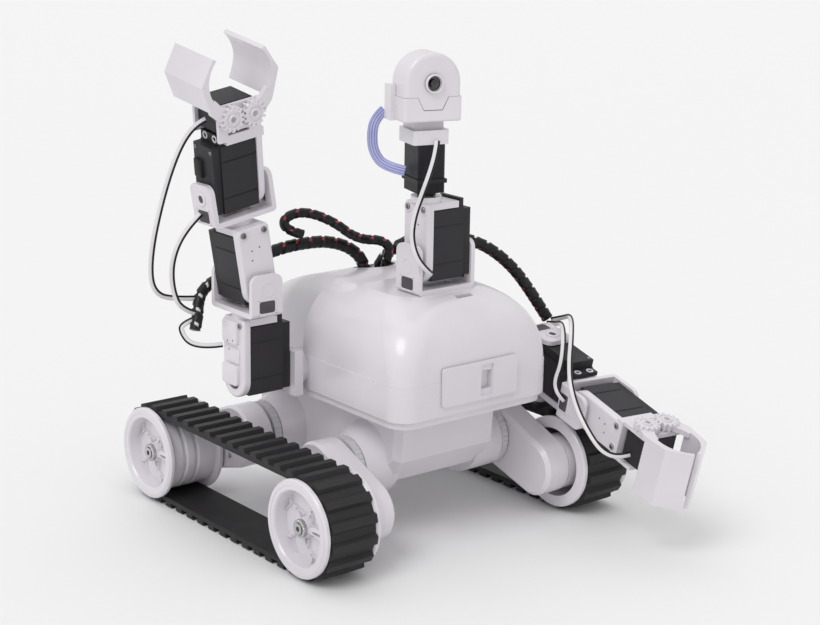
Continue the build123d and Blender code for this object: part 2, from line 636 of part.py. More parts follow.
placed = [
    ("right_track", track_form.part, ORG * Location((-belt_x, 0, axle_z))),
    ("left_track", track_form.part, ORG * Location((belt_x, 0, axle_z))),
    ("front_left_wheel", wheel_form.part, ORG * Location((wheel_in, -axle_y, axle_z))),
    ("rear_left_wheel", wheel_form.part, ORG * Location((wheel_in, axle_y, axle_z))),
    ("front_right_wheel", wheel_form.part, ORG * Location((-wheel_in, -axle_y, axle_z), (0, 0, 180))),
    ("rear_right_wheel", wheel_form.part, ORG * Location((-wheel_in, axle_y, axle_z), (0, 0, 180))),
    ("right_shoulder_servo", servo_form.part, R_M0),
    ("right_shoulder_case", case_rise, R_M0),
    ("right_elbow_bracket", arm_bracket, R_B1),
    ("right_elbow_servo", servo_form.part, R_M1),
    ("right_elbow_case", case_mid, R_M1),
    ("right_wrist_bracket", arm_bracket, R_B2),
    ("right_wrist_servo", servo_form.part, R_M2),
    ("right_gripper_frame", hand_form.part, R_M2),
    ("right_gripper_servo", grip_servo_form.part, R_M2),
    ("right_claw_drive", claw(1, 0), R_M2),
    ("right_claw_idle", claw(-1, 0), R_M2),
    ("left_shoulder_servo", servo_form.part, L_M0),
    ("left_shoulder_case", case_rise, L_M0),
    ("left_elbow_bracket", arm_bracket, L_B1),
    ("left_elbow_servo", servo_form.part, L_M1),
    ("left_elbow_case", case_mid, L_M1),
    ("left_wrist_bracket", arm_bracket, L_B2),
    ("left_wrist_servo", servo_form.part, L_M2),
    ("left_gripper_frame", hand_form.part, L_M2),
    ("left_gripper_servo", grip_servo_form.part, L_M2),
    ("left_claw_drive", claw(1, 22), L_M2),
    ("left_claw_idle", claw(-1, 22), L_M2),
    ("head_bracket", head_u, H_B),
    ("head_tilt_servo", servo_form.part, H_M),
    ("head_tilt_case", neck_case.part, H_M),
    ("head_pan_servo", pan_servo_form.part, H_PAN),
    ("head_pan_clip", pan_clip_form.part, H_PAN),
    ("camera_upper_shell", camera_upper_form.part, H_PAN),
    ("camera_lower_shell", camera_lower_form.part, H_PAN),
    ("camera_lens", lens_form.part, H_PAN),
]

nodes = {
    "upper_shell": upper_shell.part, "lower_hull": lower_hull.part, "front_latch": front_latch.part,
    "controller_board": controller_board.part, "battery_pack": battery_pack.part,
    "leg_screws": leg_screws.part, "clip_rings": clip_rings.part, "wheel_axles": wheel_axles.part,
    "drive_motors": drive_motors.part,
}
for label, leg in legs.items():
    nodes[label] = leg.part
for label, form, where in placed:
    with BuildPart() as node:
        with Locations(where):
            add(form)
    nodes[label] = node.part

# ------------------------------------------------------------ cords
# each cord: diameter and the points of its route, from the chassis centre
loom_d, loop_d, lead_d = 7.6, 6.0, 3.2
routes = {
    "right_loom": (loom_d, [(0, 9, 138), (-1, 10, 150), (-9.6, 13.4, 159.9), (-24.6, 16.5, 165.0), (-39.7, 18.2, 165.4), (-52.8, 20.4, 164.2),
                            (-65.1, 24.5, 160.6), (-77.1, 28.9, 155.0), (-87.9, 30.8, 150.6)]),
    "right_loom_end": (7.0, [(-87.9, 30.8, 150.6), (-97.05, 32.41, 146.87), (-105.5, 31.0, 142.0), (-110.4, 27.1, 135.3), (-112.6, 24.0, 128.8), (-115.7, 22.2, 122.4)]),
    "right_gripper_lead": (lead_d, [(-123.5, -4.6, 250.4), (-127.7, -1.1, 247.7), (-132.6, 5.8, 237.1), (-136.6, 12.4, 219.6), (-139.9, 18.5, 198.4),
                                    (-141.0, 26.1, 175.2), (-139.9, 30.8, 156.5), (-135.9, 32.3, 146.0), (-127.2, 31.6, 140.8), (-114.0, 30.9, 141.0)]),
    "right_wrist_lead": (lead_d, [(-122.3, 4.0, 195.3), (-129.8, 3.6, 189.9), (-134.4, 9.8, 178.0), (-134.9, 15.9, 163.5), (-131.4, 19.8, 148.1),
                                  (-125.4, 21.3, 136.6), (-117.2, 22.0, 133.3)]),
    "right_shoulder_lead": (lead_d, [(-103.3, 12.0, 114.0), (-111.0, 14.5, 113.5), (-119.0, 22.3, 114.5), (-121.7, 27.0, 120.4), (-121.4, 28.4, 125.4), (-118.0, 27.6, 128.8)]),
    "loom_loop": (loop_d, [(9, 5, 138), (10, 3, 150), (11.7, 0.8, 159.7), (5.0, 2.5, 164.6), (-6.0, 4.1, 165.7), (-14.4, 7.1, 169.5), (-21.4, 9.9, 175.7), (-30.9, 15.2, 181.4),
                           (-40.8, 18.9, 184.4), (-49.8, 20.5, 183.3), (-54.9, 20.5, 179.1), (-52.4, 16.5, 174.5), (-44.9, 13.3, 172.1)]),
    "left_loom": (loom_d, [(12, 16, 138), (14, 14, 150), (27, 3, 162), (42.7, -10.9, 165.9), (55.6, -15.8, 162.6), (66.8, -20.9, 158.3), (77.3, -25.3, 150.8),
                           (87.6, -29.1, 140.5), (96.9, -31.5, 128.1), (104.6, -33.8, 116.4), (109.4, -36.6, 107.7)]),
    "left_wrist_lead": (lead_d, [(108.8, -37.2, 104.7), (110.5, -43.5, 105.3), (101.5, -58.6, 110.8), (87.5, -75.6, 106.4), (75.2, -87.2, 95.2), (66.0, -91.5, 86.9), (62.8, -98.0, 81.3), (67.7, -98.6, 76.6)]),
    "left_gripper_lead": (lead_d, [(112.3, -37.3, 106.4), (116.2, -43.2, 108.4), (105.9, -62.4, 115.8), (87.7, -81.9, 107.7), (76.2, -92.9, 98.1), (66.2, -104.7, 88.8), (60.2, -117.5, 77.6),
                                   (57.6, -131.0, 66.8), (57.9, -141.5, 58.6), (64.3, -148.4, 55.2), (71.4, -151.5, 56.8)]),
    "head_pan_lead": (lead_d, [(-10.7, -69.0, 237.0), (-14.2, -72.4, 231.4), (-18.9, -73.2, 220.0), (-24.5, -72.8, 207.4), (-28.2, -71.3, 196.2), (-30.3, -71.4, 184.0), (-27.9, -73.7, 171.9),
                               (-19.1, -74.2, 162.6), (-13.3, -69.4, 160.0)]),
    "camera_ribbon": (lead_d, [(-28.0, -42.0, 252.4), (-30.0, -36.0, 247.0), (-29.9, -33.1, 236.7), (-28.3, -33.2, 226.7), (-24.3, -38.0, 219.1), (-18.0, -49.6, 217.5)]),
}
cord_nodes = []
for label, (dia, pts) in routes.items():
    vs = [Vector(*p) for p in pts]
    runs = [(b - a) for a, b in zip(vs, vs[1:])]
    radii = []
    for a, b in zip(runs, runs[1:]):
        turn = radians(a.get_angle(b))
        radii.append(0.45 * min(a.length, b.length) / tan(turn / 2))
    with BuildPart() as tube:
        with BuildLine() as path:
            route = FilletPolyline(*pts, radius=radii)
        with BuildSketch(Plane(origin=route @ 0, z_dir=route % 0)):
            Circle(dia / 2)
        sweep()
    want = pi * dia * dia / 4 * route.length
    print(label, "length", round(route.length, 1), "radii", [round(r, 1) for r in radii], "volume ratio", round(tube.part.volume / want, 3))
    with BuildPart() as cord:
        with Locations(ORG):
            add(tube.part)
    nodes[label] = cord.part
    cord_nodes.append(label)

boxes = [p.bounding_box() for n, p in nodes.items() if n not in cord_nodes]
lo = [min(getattr(b.min, k) for b in boxes) for k in "XYZ"]
hi = [max(getattr(b.max, k) for b in boxes) for k in "XYZ"]
print("box", [round(v, 3) for v in lo], [round(v, 3) for v in hi], "centre", [round((p + q) / 2, 3) for p, q in zip(lo, hi)])

for label, piece in nodes.items():
    piece.label = label
    export_step(piece, f"parts/{label}.step")
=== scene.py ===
import bpy, bmesh, json, math
from mathutils import Vector, Matrix, Euler


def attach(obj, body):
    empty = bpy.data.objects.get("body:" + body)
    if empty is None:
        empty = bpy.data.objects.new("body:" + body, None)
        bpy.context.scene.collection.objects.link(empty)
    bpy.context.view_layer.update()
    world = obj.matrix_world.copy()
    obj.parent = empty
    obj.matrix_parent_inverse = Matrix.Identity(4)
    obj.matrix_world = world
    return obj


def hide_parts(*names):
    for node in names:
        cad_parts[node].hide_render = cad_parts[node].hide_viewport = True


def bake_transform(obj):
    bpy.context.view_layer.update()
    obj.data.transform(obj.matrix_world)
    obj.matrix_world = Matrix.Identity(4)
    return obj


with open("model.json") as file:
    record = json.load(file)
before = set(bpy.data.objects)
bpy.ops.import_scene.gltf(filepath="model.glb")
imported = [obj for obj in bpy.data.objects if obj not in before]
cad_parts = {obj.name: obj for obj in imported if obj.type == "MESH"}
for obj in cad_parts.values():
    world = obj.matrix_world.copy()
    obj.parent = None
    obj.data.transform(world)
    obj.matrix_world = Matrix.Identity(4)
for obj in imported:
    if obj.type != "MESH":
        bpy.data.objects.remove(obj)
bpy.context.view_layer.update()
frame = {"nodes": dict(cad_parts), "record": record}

N = frame["nodes"]
scene = bpy.context.scene
OX, OY = 12.05, 43.28


def P(x, y, z):
    """Chassis millimetres to the row frame in metres."""
    return Vector(((x + OX) / 1000, (y + OY) / 1000, z / 1000))


# ------------------------------------------------------------------ camera
f = Vector((0.6068, 0.7525, -0.256)).normalized()
r = Vector((0.7785, -0.6277, 0)).normalized()
u = r.cross(f).normalized()
roll = math.radians(0.95)
r2 = r * math.cos(roll) + u * math.sin(roll)
u2 = u * math.cos(roll) - r * math.sin(roll)
cam_data = bpy.data.cameras.new("camera")
cam_data.lens, cam_data.sensor_width = 82.87, 36
cam_data.clip_start, cam_data.clip_end = 0.05, 20
cam = bpy.data.objects.new("camera", cam_data)
scene.collection.objects.link(cam)
cm = Matrix((r2, u2, -f)).transposed().to_4x4()
cm.translation = Vector((-0.67165, -0.83832, 0.4159))
cam.matrix_world = cm
scene.camera = cam


# --------------------------------------------------------------- materials
def new_mat(name):
    m = bpy.data.materials.new(name)
    m.use_nodes = True
    nt = m.node_tree
    return m, nt, nt.nodes["Principled BSDF"]


def surface(name, dark, light, rough=(0.2, 0.3), bump=0.05, scale=900, blotch=18, metallic=0.0, coat=0.0,
            spec=0.5, aniso=None, wear=None, depth=0.0004):
    """A moulded or milled finish: tone that drifts, a fine grain and soft wear along edges."""
    m, nt, b = new_mat(name)
    L = nt.links.new
    tc = nt.nodes.new("ShaderNodeTexCoord")
    big = nt.nodes.new("ShaderNodeTexNoise"); big.inputs["Scale"].default_value = blotch; big.inputs["Detail"].default_value = 4
    L(tc.outputs["Object"], big.inputs["Vector"])
    ramp = nt.nodes.new("ShaderNodeValToRGB")
    ramp.color_ramp.elements[0].position, ramp.color_ramp.elements[1].position = 0.3, 0.7
    ramp.color_ramp.elements[0].color = (*dark, 1)
    ramp.color_ramp.elements[1].color = (*light, 1)
    L(big.outputs["Fac"], ramp.inputs["Fac"])
    colour = ramp.outputs["Color"]
    if wear:
        geo = nt.nodes.new("ShaderNodeNewGeometry")
        edge = nt.nodes.new("ShaderNodeValToRGB")
        edge.color_ramp.elements[0].position, edge.color_ramp.elements[1].position = 0.53, 0.60
        L(geo.outputs["Pointiness"], edge.inputs["Fac"])
        mix = nt.nodes.new("ShaderNodeMix"); mix.data_type = "RGBA"
        L(edge.outputs["Color"], mix.inputs["Factor"])
        L(colour, mix.inputs["A"])
        mix.inputs["B"].default_value = (*wear, 1)
        colour = mix.outputs["Result"]
    L(colour, b.inputs["Base Color"])
    fine = nt.nodes.new("ShaderNodeTexNoise"); fine.inputs["Scale"].default_value = scale; fine.inputs["Detail"].default_value = 3
    if aniso:
        mp = nt.nodes.new("ShaderNodeMapping"); mp.inputs["Scale"].default_value = aniso
        L(tc.outputs["Object"], mp.inputs["Vector"]); L(mp.outputs["Vector"], fine.inputs["Vector"])
    else:
        L(tc.outputs["Object"], fine.inputs["Vector"])
    rr = nt.nodes.new("ShaderNodeMapRange")
    rr.inputs["To Min"].default_value, rr.inputs["To Max"].default_value = rough
    L(big.outputs["Fac"], rr.inputs["Value"]); L(rr.outputs["Result"], b.inputs["Roughness"])
    bp = nt.nodes.new("ShaderNodeBump"); bp.inputs["Strength"].default_value = bump; bp.inputs["Distance"].default_value = depth
    L(fine.outputs["Fac"], bp.inputs["Height"]); L(bp.outputs["Normal"], b.inputs["Normal"])
    b.inputs["Metallic"].default_value = metallic
    b.inputs["Coat Weight"].default_value = coat
    b.inputs["Coat Roughness"].default_value = 0.08
    b.inputs["Specular IOR Level"].default_value = spec
    return m


M = {
    "gloss_white": surface("gloss_white", (0.69, 0.655, 0.705), (0.77, 0.74, 0.78), (0.2, 0.3), 0.05, 420, 14, coat=0.25),
    "servo_black": surface("servo_black", (0.004, 0.0035, 0.005), (0.010, 0.008, 0.011), (0.36, 0.5), 0.3, 2200, 30, spec=0.22, wear=(0.03, 0.028, 0.032)),
    "track_rubber": surface("track_rubber", (0.003, 0.0028, 0.0035), (0.010, 0.009, 0.010), (0.42, 0.62), 0.5, 1400, 60, spec=0.25, wear=(0.03, 0.028, 0.03)),
    "ring_grey": surface("ring_grey", (0.30, 0.29, 0.32), (0.46, 0.45, 0.48), (0.35, 0.5), 0.3, 1500, 40, wear=(0.6, 0.6, 0.62)),
    "axle_steel": surface("axle_steel", (0.42, 0.42, 0.43), (0.62, 0.62, 0.63), (0.2, 0.35), 0.15, 900, 60, metallic=1.0, aniso=(1, 12, 12)),
    "screw_steel": surface("screw_steel", (0.16, 0.15, 0.16), (0.34, 0.33, 0.34), (0.25, 0.4), 0.15, 1200, 90, metallic=1.0, wear=(0.6, 0.6, 0.6)),
    "board_green": surface("board_green", (0.02, 0.12, 0.05), (0.04, 0.18, 0.08), (0.3, 0.4), 0.1, 700, 40),
    "lens_black": surface("lens_black", (0.004, 0.004, 0.006), (0.012, 0.011, 0.016), (0.04, 0.1), 0.02, 700, 30, coat=0.8),
    "loom_black": surface("loom_black", (0.004, 0.0035, 0.005), (0.011, 0.010, 0.012), (0.26, 0.38), 0.1, 900, 40, spec=0.35, wear=(0.03, 0.03, 0.033)),
    "lead_white": surface("lead_white", (0.70, 0.68, 0.70), (0.80, 0.78, 0.80), (0.35, 0.45), 0.08, 900, 60),
    "ribbon_blue": surface("ribbon_blue", (0.18, 0.20, 0.50), (0.28, 0.30, 0.62), (0.3, 0.4), 0.08, 900, 60),
}
M["ribbon_pale"] = surface("ribbon_pale", (0.42, 0.43, 0.66), (0.52, 0.53, 0.76), (0.3, 0.4), 0.08, 900, 60)
M["wire_red"] = surface("wire_red", (0.42, 0.02, 0.02), (0.55, 0.05, 0.04), (0.35, 0.45), 0.08, 900, 60)
M["wire_black"] = surface("wire_black", (0.006, 0.005, 0.006), (0.014, 0.013, 0.014), (0.35, 0.45), 0.08, 900, 60, spec=0.3)
# painted shade: this near-black stands in for the shade inside the case dimples, the bracket windows and the ear
# hole
M["painted_recess_shade"] = surface("painted_recess_shade", (0.05, 0.045, 0.05), (0.09, 0.08, 0.09), (0.5, 0.6), 0.1, 700, 40)

slot_of = {}
for sp in frame["record"].get("subparts", []):
    slot_of[sp["node"]] = sp.get("material_slot")
for name, o in N.items():
    mat = M.get(slot_of.get(name) or "gloss_white", M["gloss_white"])
    o.data.materials.clear()
    o.data.materials.append(mat)


# ------------------------------------------------------------------- cords
def centreline(name, pts):
    """Points along a smooth NURBS spline through the route's control points."""
    c = bpy.data.curves.new(name + "_line", "CURVE")
    c.dimensions = "3D"
    c.resolution_u = 30
    s = c.splines.new("NURBS")
    s.points.add(len(pts) - 1)
    for p, q in zip(s.points, pts):
        v = P(*q)
        p.co = (v.x, v.y, v.z, 1)
    s.order_u = 3
    s.use_endpoint_u = True
    o = bpy.data.objects.new(name + "_line", c)
    scene.collection.objects.link(o)
    bpy.context.view_layer.update()
    me = bpy.data.meshes.new_from_object(o)
    line = [v.co.copy() for v in me.vertices]
    bpy.data.objects.remove(o)
    bpy.data.meshes.remove(me)
    out = [line[0]]
    for p in line[1:]:
        if (p - out[-1]).length > 1e-6:
            out.append(p)
    return out


def frames(line, flat=False):
    tans = []
    for i in range(len(line)):
        a, b = line[max(0, i - 1)], line[min(len(line) - 1, i + 1)]
        tans.append((b - a).normalized())
    n = tans[0].orthogonal().normalized()
    out = []
    for t in tans:
        n = (n - t * n.dot(t)).normalized()
        if flat:
            side = t.cross(f)
            w = min(1.0, side.length / 0.6)
            side.normalize()
            n = (n * (1 - w) + side * w).normalized()
            n = (n - t * n.dot(t)).normalized()
        out.append((t, n, t.cross(n)))
    return out


def tube(name, pts, width, kind):
    """A cord as a closed mesh tube round its spline: spiral-wrapped loom, flat lead or ribbon."""
    line = centreline(name, pts)
    fr = frames(line, kind != "loom")
    k = 36 if kind == "loom" else 24
    verts, faces, idx = [], [], []
    dist = 0.0
    R = width / 2
    lens = [0.0]
    for i in range(1, len(line)):
        lens.append(lens[-1] + (line[i] - line[i - 1]).length)
    pitch = 0.0085
    for i, p in enumerate(line):
        t, n, b = fr[i]
        for j in range(k):
            a = 2 * math.pi * j / k
            if kind == "loom":
                phase = (lens[i] / pitch + j / k) % 1.0
                edge = min(phase, 1 - phase)          # 0 in the middle of the gap
                lift = min(1.0, max(0.0, (edge - 0.10) / 0.03))
                rad = R * (0.80 + 0.20 * lift) - 0.00018 * math.cos(6 * a) * (1 - lift)
                # the wrap bulges a little between its edges
                if lift >= 1:
                    rad -= R * 0.05 * (1 - math.sin(math.pi * min(1, (edge - 0.13) / 0.37 / 2 + 0.5)))
                x, y = math.cos(a) * rad, math.sin(a) * rad
            else:
                # three wires side by side
                w = R
                x = w * math.cos(a)
                third = abs(math.cos(1.5 * math.pi * (x / w) * 1.0)) if abs(x) < w else 0
                y = (0.62 * R / 1.6) * math.sin(a) * (0.72 + 0.28 * third) * 1.25 if kind == "lead" else 0.00045 * math.sin(a)
            verts.append(p + n * x + b * y)
        if i:
            for j in range(k):
                q = (i - 1) * k + j
                q2 = (i - 1) * k + (j + 1) % k
                faces.append((q, q2, q2 + k, q + k))
                if kind == "loom":
                    ph = (((lens[i] + lens[i - 1]) / 2) / pitch + (j + 0.5) / k) % 1.0
                    gap = min(ph, 1 - ph) < 0.1
                    idx.append({2: 1, 3: 1, 8: 2}.get(j // 3, 3) if gap else 0)
                else:
                    a = 2 * math.pi * (j + 0.5) / k
                    x = math.cos(a)
                    idx.append((0 if x < 0.3 else 1) if kind == "lead" else j % 2)
    c0, c1 = len(verts), len(verts) + 1
    verts += [line[0], line[-1]]
    for j in range(k):
        faces.append((c0, (j + 1) % k, j)); idx.append(0)
        q = (len(line) - 1) * k
        faces.append((c1, q + j, q + (j + 1) % k)); idx.append(0)
    me = bpy.data.meshes.new(name)
    me.from_pydata([tuple(v) for v in verts], [], faces)
    for m in {"loom": (M["loom_black"], M["lead_white"], M["wire_red"], M["wire_black"]), "lead": (M["lead_white"], M["wire_black"]),
              "ribbon": (M["ribbon_blue"], M["ribbon_pale"])}[kind]:
        me.materials.append(m)
    me.polygons.foreach_set("material_index", idx)
    me.polygons.foreach_set("use_smooth", [True] * len(faces))
    me.update()
    o = bpy.data.objects.new(name, me)
    scene.collection.objects.link(o)
    return o, line, lens[-1]


CORDS = {
    "right_loom": ("loom", 7.6, "chassis", ("chassis", "right_upper_arm"), [(0, 9, 138), (-1, 10, 150), (-9.6, 13.4, 159.9), (-24.6, 16.5, 165.0), (-39.7, 18.2, 165.4), (-52.8, 20.4, 164.2), (-65.1, 24.5, 160.6), (-77.1, 28.9, 155.0), (-87.9, 30.8, 150.6)]),
    "right_loom_end": ("loom", 7.0, "right_upper_arm", ("right_upper_arm", "right_forearm"), [(-87.9, 30.8, 150.6), (-97.05, 32.41, 146.87), (-105.5, 31.0, 142.0), (-110.4, 27.1, 135.3), (-112.6, 24.0, 128.8), (-115.7, 22.2, 122.4)]),
    "right_gripper_lead": ("lead", 3.2, "right_forearm", ("right_hand", "right_forearm"), [(-123.5, -4.6, 250.4), (-127.7, -1.1, 247.7), (-132.6, 5.8, 237.1), (-136.6, 12.4, 219.6), (-139.9, 18.5, 198.4), (-141.0, 26.1, 175.2), (-139.9, 30.8, 156.5), (-135.9, 32.3, 146.0), (-127.2, 31.6, 140.8), (-109.0, 29.3, 139.2)]),
    "right_wrist_lead": ("lead", 3.2, "right_forearm", None, [(-122.3, 4.0, 195.3), (-129.8, 3.6, 189.9), (-134.4, 9.8, 178.0), (-134.9, 15.9, 163.5), (-131.4, 19.8, 148.1), (-125.4, 21.3, 136.6), (-113.2, 24.4, 131.6)]),
    "right_shoulder_lead": ("lead", 3.2, "right_upper_arm", ("right_upper_arm", "right_forearm"), [(-103.3, 12.0, 114.0), (-111.0, 14.5, 113.5), (-119.0, 22.3, 114.5), (-121.7, 27.0, 120.4), (-121.4, 28.4, 125.4), (-113.8, 24.6, 128.6)]),
    "loom_loop": ("loom", 6.0, "chassis", None, [(9, 5, 138), (10, 3, 150), (11.7, 0.8, 159.7), (5.0, 2.5, 164.6), (-6.0, 4.1, 165.7), (-14.4, 7.1, 169.5), (-21.4, 9.9, 175.7), (-30.9, 15.2, 181.4), (-40.8, 18.9, 184.4), (-49.8, 20.5, 183.3), (-54.9, 20.5, 179.1), (-52.4, 16.5, 174.5), (-44.9, 13.3, 172.1)]),
    "left_loom": ("loom", 7.6, "chassis", ("chassis", "left_upper_arm"), [(12, 16, 138), (14, 14, 150), (27, 3, 162), (42.7, -10.9, 165.9), (55.6, -15.8, 162.6), (66.8, -20.9, 158.3), (77.3, -25.3, 150.8), (87.6, -29.1, 140.5), (96.9, -31.5, 128.1), (104.6, -33.8, 116.4), (109.4, -36.6, 107.7)]),
    "left_wrist_lead": ("lead", 3.2, "left_upper_arm", ("left_upper_arm", "left_forearm"), [(108.8, -37.2, 104.7), (110.5, -43.5, 105.3), (101.5, -58.6, 110.8), (87.5, -75.6, 106.4), (75.2, -87.2, 95.2), (66.0, -91.5, 86.9), (62.8, -98.0, 81.3), (67.7, -98.6, 76.6)]),
    "left_gripper_lead": ("lead", 3.2, "left_forearm", ("left_forearm", "left_hand"), [(112.3, -37.3, 106.4), (116.2, -43.2, 108.4), (105.9, -62.4, 115.8), (87.7, -81.9, 107.7), (76.2, -92.9, 98.1), (66.2, -104.7, 88.8), (60.2, -117.5, 77.6), (57.6, -131.0, 66.8), (57.9, -141.5, 58.6), (64.3, -148.4, 55.2), (71.4, -151.5, 56.8)]),
    "head_pan_lead": ("lead", 3.2, "head_tilt", ("head_pan", "head_tilt"), [(-10.7, -69.0, 237.0), (-14.2, -72.4, 231.4), (-18.9, -73.2, 220.0), (-24.5, -72.8, 207.4), (-28.2, -71.3, 196.2), (-30.3, -71.4, 184.0), (-27.9, -73.7, 171.9), (-19.1, -74.2, 162.6), (-13.3, -69.4, 160.0)]),
    "camera_ribbon": ("ribbon", 6.0, "head_pan", None, [(-28.0, -42.0, 252.4), (-30.0, -36.0, 247.0), (-29.9, -33.1, 236.7), (-28.3, -33.2, 226.7), (-24.3, -38.0, 219.1), (-18.0, -49.6, 217.5)]),
}
for name, (kind, dia, body, ends, pts) in CORDS.items():
    o, line, length = tube(name + "_cord", pts, dia / 1000, kind)
    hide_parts(name)
    if ends:
        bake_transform(o)
    else:
        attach(o, body)


# ------------------------------------------------------------ detail pieces
def finish_mesh(name, bm, body, mats, smooth=True):
    bmesh.ops.recalc_face_normals(bm, faces=bm.faces)
    me = bpy.data.meshes.new(name)
    bm.to_mesh(me)
    bm.free()
    for m in mats:
        me.materials.append(m)
    if smooth:
        me.polygons.foreach_set("use_smooth", [True] * len(me.polygons))
        me.set_sharp_from_angle(angle=math.radians(32))
    o = bpy.data.objects.new(name, me)
    scene.collection.objects.link(o)
    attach(o, body)
    return o


def lathe(bm, prof, mat, seg=32, cross=0.0, mi=0):
    """Turns (radius, height) points about local Z. cross > 0 sinks a cross recess of that half length."""
    rings = []
    for rad, h in prof:
        if rad < 1e-7:
            rings.append([bm.verts.new(mat @ Vector((0, 0, h)))])
            continue
        ring = []
        for j in range(seg):
            a = 2 * math.pi * j / seg
            x, y = rad * math.cos(a), rad * math.sin(a)
            dz = 0.0
            if cross and (abs(x) < cross * 0.24 or abs(y) < cross * 0.24) and rad < cross:
                dz = -cross * 0.5
            ring.append(bm.verts.new(mat @ Vector((x, y, h + dz))))
        rings.append(ring)
    for a, b in zip(rings, rings[1:]):
        if len(a) == 1 and len(b) == 1:
            continue
        for j in range(seg):
            if len(a) == 1:
                fc = bm.faces.new((a[0], b[j], b[(j + 1) % seg]))
            elif len(b) == 1:
                fc = bm.faces.new((a[j], b[0], a[(j + 1) % seg]))
            else:
                fc = bm.faces.new((a[j], b[j], b[(j + 1) % seg], a[(j + 1) % seg]))
            fc.material_index = mi


def screw(bm, at, rad):
    """A pan head screw, its axis along the local Z of at, with a cross recess."""
    R = rad
    prof = [(R, -0.25 * R), (R, 0.18 * R), (0.93 * R, 0.34 * R), (0.78 * R, 0.46 * R), (0.6 * R, 0.54 * R), (0.5 * R, 0.56 * R),
            (0.4 * R, 0.58 * R), (0.3 * R, 0.59 * R), (0.2 * R, 0.6 * R), (0.1 * R, 0.6 * R), (0, 0.6 * R - 0.3 * R)]
    lathe(bm, prof, at, 32, cross=0.62 * R)


def frame_of(x, y, z, *turns):
    """A module frame in the row frame, in metres: a place and its turns in degrees about its own axes."""
    m = Matrix.Translation(P(x, y, z))
    for ax, ang in turns:
        m = m @ Matrix.Rotation(math.radians(ang), 4, ax)
    return m


def off(m, x=0, y=0, z=0):
    return m @ Matrix.Translation(Vector((x, y, z)) / 1000)


R_M0 = frame_of(-87.5, 1, 95.7, ("Z", 180))
R_B1 = frame_of(-93.5, 1, 135.7, ("Z", -90))
R_P1 = frame_of(-93.5, 1, 152.2, ("Y", -9.5))
R_M1 = R_P1 @ Matrix.Rotation(math.radians(-90), 4, "Z")
R_B2 = off(R_P1, z=40)
R_M2 = off(R_P1, z=56.5) @ Matrix.Rotation(math.radians(8.6), 4, "X")
L_F = frame_of(87.5, 1, 95.7, ("X", 102))
L_M0 = L_F
L_B1 = off(L_F, x=6, z=40) @ Matrix.Rotation(math.radians(-90), 4, "Z")
L_P1 = off(L_F, x=6, z=56.5) @ Matrix.Rotation(math.radians(-5.5), 4, "Y")
L_M1 = L_P1 @ Matrix.Rotation(math.radians(-90), 4, "Z")
L_B2 = off(L_P1, z=40) @ Matrix.Rotation(math.radians(180), 4, "Z")
L_M2 = off(L_P1, z=56.5) @ Matrix.Rotation(math.radians(180), 4, "Z") @ Matrix.Rotation(math.radians(-1.7), 4, "X")
H_B = frame_of(0, -56.7, 147, ("Z", 180))
H_M = frame_of(0, -56.7, 163.5, ("Z", 180))
H_PAN = frame_of(-8, -56.7, 203.5, ("Z", -15))
FACE_X = Matrix.Rotation(math.radians(90), 4, "Y")       # local Z points along +X
FACE_NX = Matrix.Rotation(math.radians(-90), 4, "Y")
FACE_NY = Matrix.Rotation(math.radians(90), 4, "X")      # local Z points along -Y
FACE_Y = Matrix.Rotation(math.radians(-90), 4, "X")


def rounded(bm, at, w, h, rad, depth, bevel=0.3, seg=5, mi=0):
    """A raised rounded rectangle with a softened top edge, standing on the local XY plane (millimetres)."""
    def loop(inset, z):
        out = []
        rr = max(rad - inset, 0.15)
        for sx, sy, a0 in ((1, 1, 0), (-1, 1, 90), (-1, -1, 180), (1, -1, 270)):
            cx, cy = sx * (w / 2 - inset - rr), sy * (h / 2 - inset - rr)
            for k in range(seg + 1):
                a = math.radians(a0 + 90 * k / seg)
                out.append(bm.verts.new(at @ (Vector((cx + rr * math.cos(a), cy + rr * math.sin(a), z)) / 1000)))
        return out
    loops = [loop(0, -0.4), loop(0, depth - bevel), loop(bevel * 0.3, depth - bevel * 0.3), loop(bevel, depth)]
    for a, b in zip(loops, loops[1:]):
        n = len(a)
        for j in range(n):
            fc = bm.faces.new((a[j], a[(j + 1) % n], b[(j + 1) % n], b[j]))
            fc.material_index = mi
    fc = bm.faces.new(loops[-1])
    fc.material_index = mi
    fc = bm.faces.new(list(reversed(loops[0])))
    fc.material_index = mi


def ring(bm, at, r_in, r_out, h, mi=0, seg=40):
    """A raised round bead (millimetres)."""
    mid = (r_in + r_out) / 2
    prof = [(r_out, -0.3), (r_out, 0.6 * h), ((r_out + mid) / 2, 0.93 * h), (mid, h), ((r_in + mid) / 2, 0.93 * h), (r_in, 0.6 * h), (r_in, -0.3)]
    lathe(bm, [(a / 1000, b / 1000) for a, b in prof], at, seg, mi=mi)
